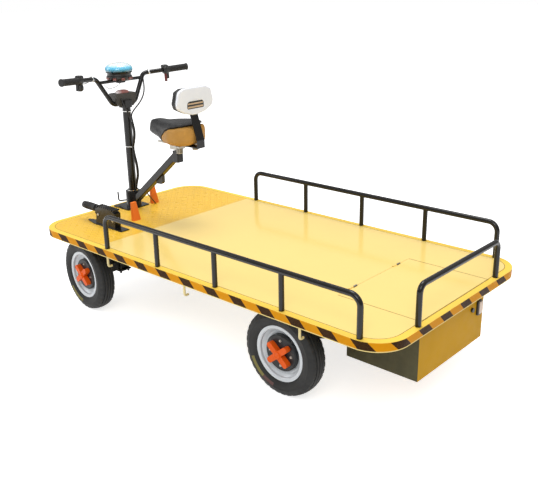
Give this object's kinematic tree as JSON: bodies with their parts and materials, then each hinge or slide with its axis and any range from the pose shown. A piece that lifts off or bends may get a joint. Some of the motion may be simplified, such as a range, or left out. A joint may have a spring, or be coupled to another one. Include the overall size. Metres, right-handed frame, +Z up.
{
  "type": "electric platform truck",
  "caption": "Electric flatbed platform truck: low rectangular deck with side guard rails, battery bay, tyred wheels, seat with backrest, and a handlebar steering column",
  "frame": {"origin": "on the floor under the centre of the bounding box's footprint", "axes": "+X is forwards (the steered end), +Y is the driver's left, +Z is up"},
  "size_m": [2, 1, 1.131],
  "materials": {
    "frame_paint": "satin black paint",
    "band_paint": "gloss orange-yellow paint with black hazard patches",
    "deck_paint": "glossy pale yellow paint",
    "tread_paint": "gloss golden yellow paint over tread pattern",
    "tube_paint": "gloss black paint",
    "box_paint": "gloss ochre yellow paint",
    "battery_plastic": "moulded battery case",
    "black_plastic": "black moulding",
    "spring_steel": "black painted forging and spring steel",
    "bright_steel": "zinc plated steel",
    "motor_paint": "dark grey motor housing",
    "saddle_tan": "tan cover",
    "white_plastic": "white moulded shell",
    "orange_paint": "gloss orange paint",
    "grip_rubber": "black rubber and cable sheath",
    "red_lens": "dull red translucent lens",
    "blue_lens": "blue translucent dome",
    "tyre_rubber": "black tyre rubber",
    "rim_paint": "silver-white paint",
    "hub_paint": "black painted drum"
  },
  "bodies": {
    "chassis": {"rim_frame": "band_paint", "deck_plate": "deck_paint", "tread_plate": "tread_paint", "chassis_frame": "frame_paint", "spring_hangers": "frame_paint", "left_rail": "tube_paint", "right_rail": "tube_paint", "rear_rail": "tube_paint", "rope_hooks": "tube_paint", "battery_bay": "box_paint", "battery_pack": "battery_plastic", "charge_socket": "black_plastic", "hatch_hinges": "bright_steel", "front_axle": "frame_paint", "front_springs": "spring_steel", "rear_springs": "spring_steel", "rear_axle": "frame_paint", "drive_motor": "motor_paint", "steering_head": "tube_paint", "seat_post": "tube_paint", "saddle_carrier": "bright_steel", "saddle_skirt": "saddle_tan", "saddle_top": "black_plastic", "backrest_strap": "tube_paint", "backrest_shell": "white_plastic", "backrest_pad": "black_plastic", "foot_pedals": "orange_paint", "handbrake_base": "tube_paint", "handbrake_lever": "black_plastic"},
    "hatch": {"hatch": "deck_paint"},
    "steering": {"steering_column": "tube_paint", "handlebar": "tube_paint", "stem_clamp": "tube_paint", "grips": "grip_rubber", "bar_controls": "black_plastic", "instrument_box": "black_plastic", "instrument_lens": "red_lens", "lamp_base": "black_plastic", "lamp_dome": "blue_lens", "cable_loom": "grip_rubber"},
    "left_knuckle": {"left_knuckle": "spring_steel"},
    "right_knuckle": {"right_knuckle": "spring_steel"},
    "track_rod": {"track_rod": "spring_steel"},
    "drag_link": {"drag_link": "spring_steel"},
    "front_left_wheel": {"front_left_tyre": "tyre_rubber", "front_left_rim": "rim_paint", "front_left_hub": "hub_paint", "front_left_hub_cover": "orange_paint"},
    "front_right_wheel": {"front_right_tyre": "tyre_rubber", "front_right_rim": "rim_paint", "front_right_hub": "hub_paint", "front_right_hub_cover": "orange_paint"},
    "rear_left_wheel": {"rear_left_tyre": "tyre_rubber", "rear_left_rim": "rim_paint", "rear_left_hub": "hub_paint", "rear_left_hub_cover": "orange_paint"},
    "rear_right_wheel": {"rear_right_tyre": "tyre_rubber", "rear_right_rim": "rim_paint", "rear_right_hub": "hub_paint", "rear_right_hub_cover": "orange_paint"}
  },
  "joints": [
    {"name": "steering_pivot", "type": "hinge", "parent": "chassis", "child": "steering", "pos_m": [0.89, 0, 0.45], "axis": [0, 0, 1], "range_deg": [-30, 30]},
    {"name": "left_kingpin", "type": "hinge", "parent": "chassis", "child": "left_knuckle", "pos_m": [0.771, 0.31, 0.176], "axis": [0, 0, 1], "range_deg": [-30, 30]},
    {"name": "right_kingpin", "type": "hinge", "parent": "chassis", "child": "right_knuckle", "pos_m": [0.771, -0.31, 0.176], "axis": [0, 0, 1], "range_deg": [-30, 30]},
    {"name": "track_rod_pivot", "type": "hinge", "parent": "left_knuckle", "child": "track_rod", "pos_m": [0.86066, 0.30216, 0.125], "axis": [0, 0, 1], "range_deg": [-30, 30]},
    {"name": "drag_link_pivot", "type": "hinge", "parent": "steering", "child": "drag_link", "pos_m": [0.96471, -0.00654, 0.16], "axis": [0, 0, 1], "range_deg": [-30, 30]},
    {"name": "hatch_hinge", "type": "hinge", "parent": "chassis", "child": "hatch", "pos_m": [-0.61575, 0, 0.4015], "axis": [0, 1, 0], "range_deg": [0, 88]},
    {"name": "front_left_axle", "type": "hinge", "parent": "left_knuckle", "child": "front_left_wheel", "pos_m": [0.77762, 0.38571, 0.176], "axis": [0.0872, 0.9962, 0], "continuous": true},
    {"name": "front_right_axle", "type": "hinge", "parent": "right_knuckle", "child": "front_right_wheel", "pos_m": [0.76438, -0.38571, 0.176], "axis": [0.0872, 0.9962, 0], "continuous": true},
    {"name": "rear_left_axle", "type": "hinge", "parent": "chassis", "child": "rear_left_wheel", "pos_m": [-0.474, 0.386, 0.176], "axis": [0, 1, 0], "continuous": true},
    {"name": "rear_right_axle", "type": "hinge", "parent": "chassis", "child": "rear_right_wheel", "pos_m": [-0.474, -0.386, 0.176], "axis": [0, 1, 0], "continuous": true}
  ],
  "couplings": [
    {"joint": "left_kingpin", "follows": "steering_pivot", "ratio": 1},
    {"joint": "right_kingpin", "follows": "steering_pivot", "ratio": 1},
    {"joint": "track_rod_pivot", "follows": "steering_pivot", "ratio": -1},
    {"joint": "drag_link_pivot", "follows": "steering_pivot", "ratio": -1}
  ]
}
